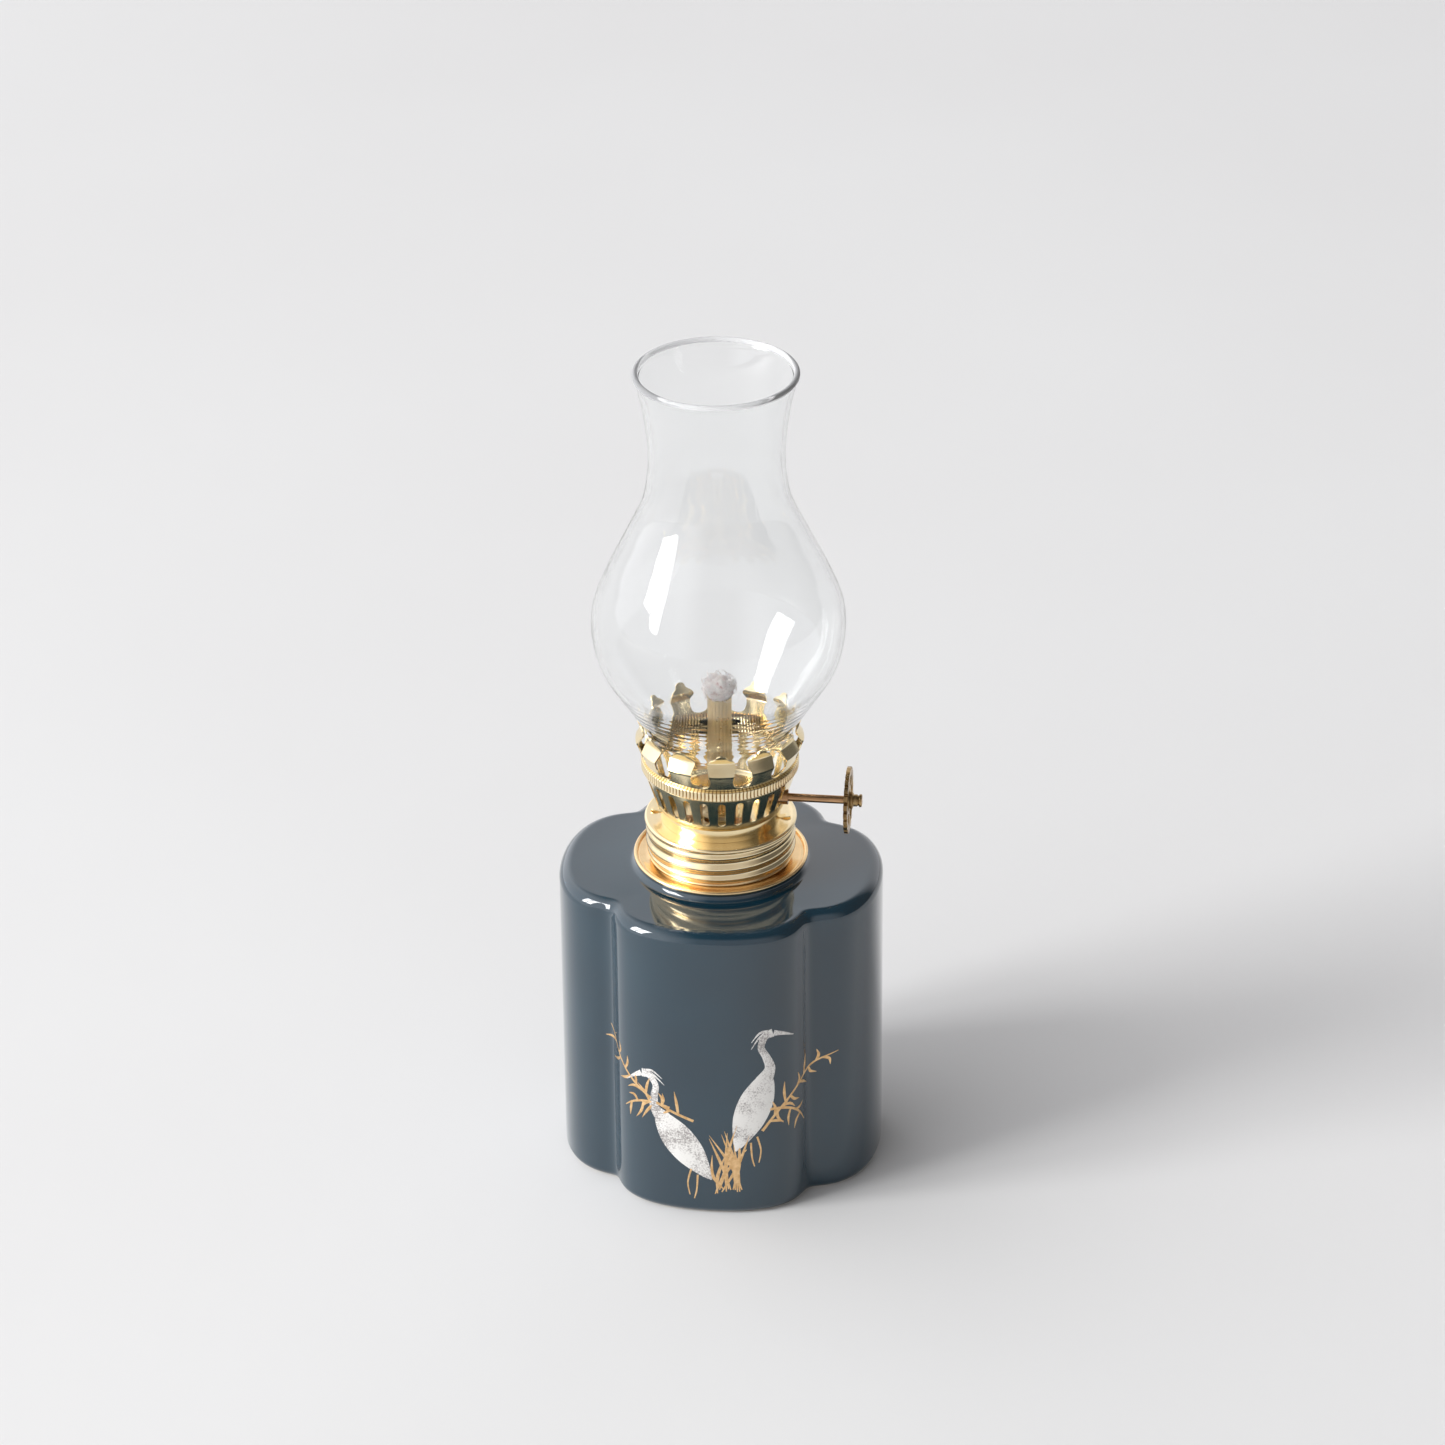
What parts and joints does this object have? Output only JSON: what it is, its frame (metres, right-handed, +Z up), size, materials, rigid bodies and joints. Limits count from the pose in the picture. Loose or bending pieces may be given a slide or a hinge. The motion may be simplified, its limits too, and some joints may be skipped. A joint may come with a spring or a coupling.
{
  "type": "oil lamp",
  "caption": "Small table oil lamp: four-lobed glazed font, brass screw burner with pronged crown and wick winder, bulb glass chimney.",
  "frame": {"origin": "centre of the foot, on the surface that the lamp stands on", "axes": "+Z up along the burner and chimney; +X towards the thumbwheel; -Y is the decorated front"},
  "size_m": [0.08, 0.0738, 0.213],
  "materials": {
    "glazed_ceramic": "glazed ceramic, deep teal, gloss",
    "collar_brass": "lacquered, warm gold, bright",
    "cap_brass": "lacquered, polished",
    "basket_brass": "lacquered, polished",
    "crown_brass": "lacquered, polished",
    "tube_brass": "satin",
    "winder_brass": "darker bronze tone, polished",
    "antique_brass": "antique, dark in the hollows",
    "wick_cotton": "braided cotton",
    "plaster": "plaster",
    "cork": "pressed cork and rubber",
    "clear_glass": "clear, thin blown glass"
  },
  "bodies": {
    "font": {"font_shell": "glazed_ceramic", "font_collar": "collar_brass", "collar_sleeve": "collar_brass", "collar_cement": "plaster"},
    "washer": {"cap_washer": "cork"},
    "burner": {"burner_cap": "cap_brass", "cap_skirt": "cap_brass", "burner_basket": "basket_brass", "knurled_band": "basket_brass", "prong_crown": "crown_brass", "chimney_seat": "crown_brass", "wick_tube": "tube_brass", "tube_flange": "tube_brass", "shaft_bracket": "winder_brass", "bracket_rivets": "winder_brass", "shaft_bushing": "winder_brass"},
    "winder": {"winder_shaft": "winder_brass", "spur_wheel_left": "winder_brass", "spur_wheel_right": "winder_brass", "retaining_collar": "winder_brass", "thumbwheel": "antique_brass", "thumbwheel_hub": "antique_brass"},
    "wick": {"wick": "wick_cotton", "wick_tuft": "wick_cotton"},
    "chimney": {"chimney": "clear_glass"}
  },
  "joints": [
    {"name": "burner_rise", "type": "slide", "parent": "font", "child": "washer", "axis": [0, 0, 1], "range_m": [0, 0.0064]},
    {"name": "burner_turn", "type": "hinge", "parent": "washer", "child": "burner", "pos_m": [0, 0, 0.0934], "axis": [0, 0, 1], "range_deg": [0, 720]},
    {"name": "wick_knob", "type": "hinge", "parent": "burner", "child": "winder", "pos_m": [0, -0.005, 0.1017], "axis": [1, 0, 0], "range_deg": [0, 191]},
    {"name": "wick_rise", "type": "slide", "parent": "burner", "child": "wick", "axis": [0, 0, 1], "range_m": [0, 0.008]},
    {"name": "chimney_lift", "type": "slide", "parent": "burner", "child": "chimney", "axis": [0, 0, 1], "range_m": [0, 0.06]}
  ],
  "couplings": [
    {"joint": "burner_rise", "follows": "burner_turn", "m_per_rad": 0.00050929},
    {"joint": "wick_knob", "follows": "wick_rise", "rad_per_m": 416.67}
  ]
}
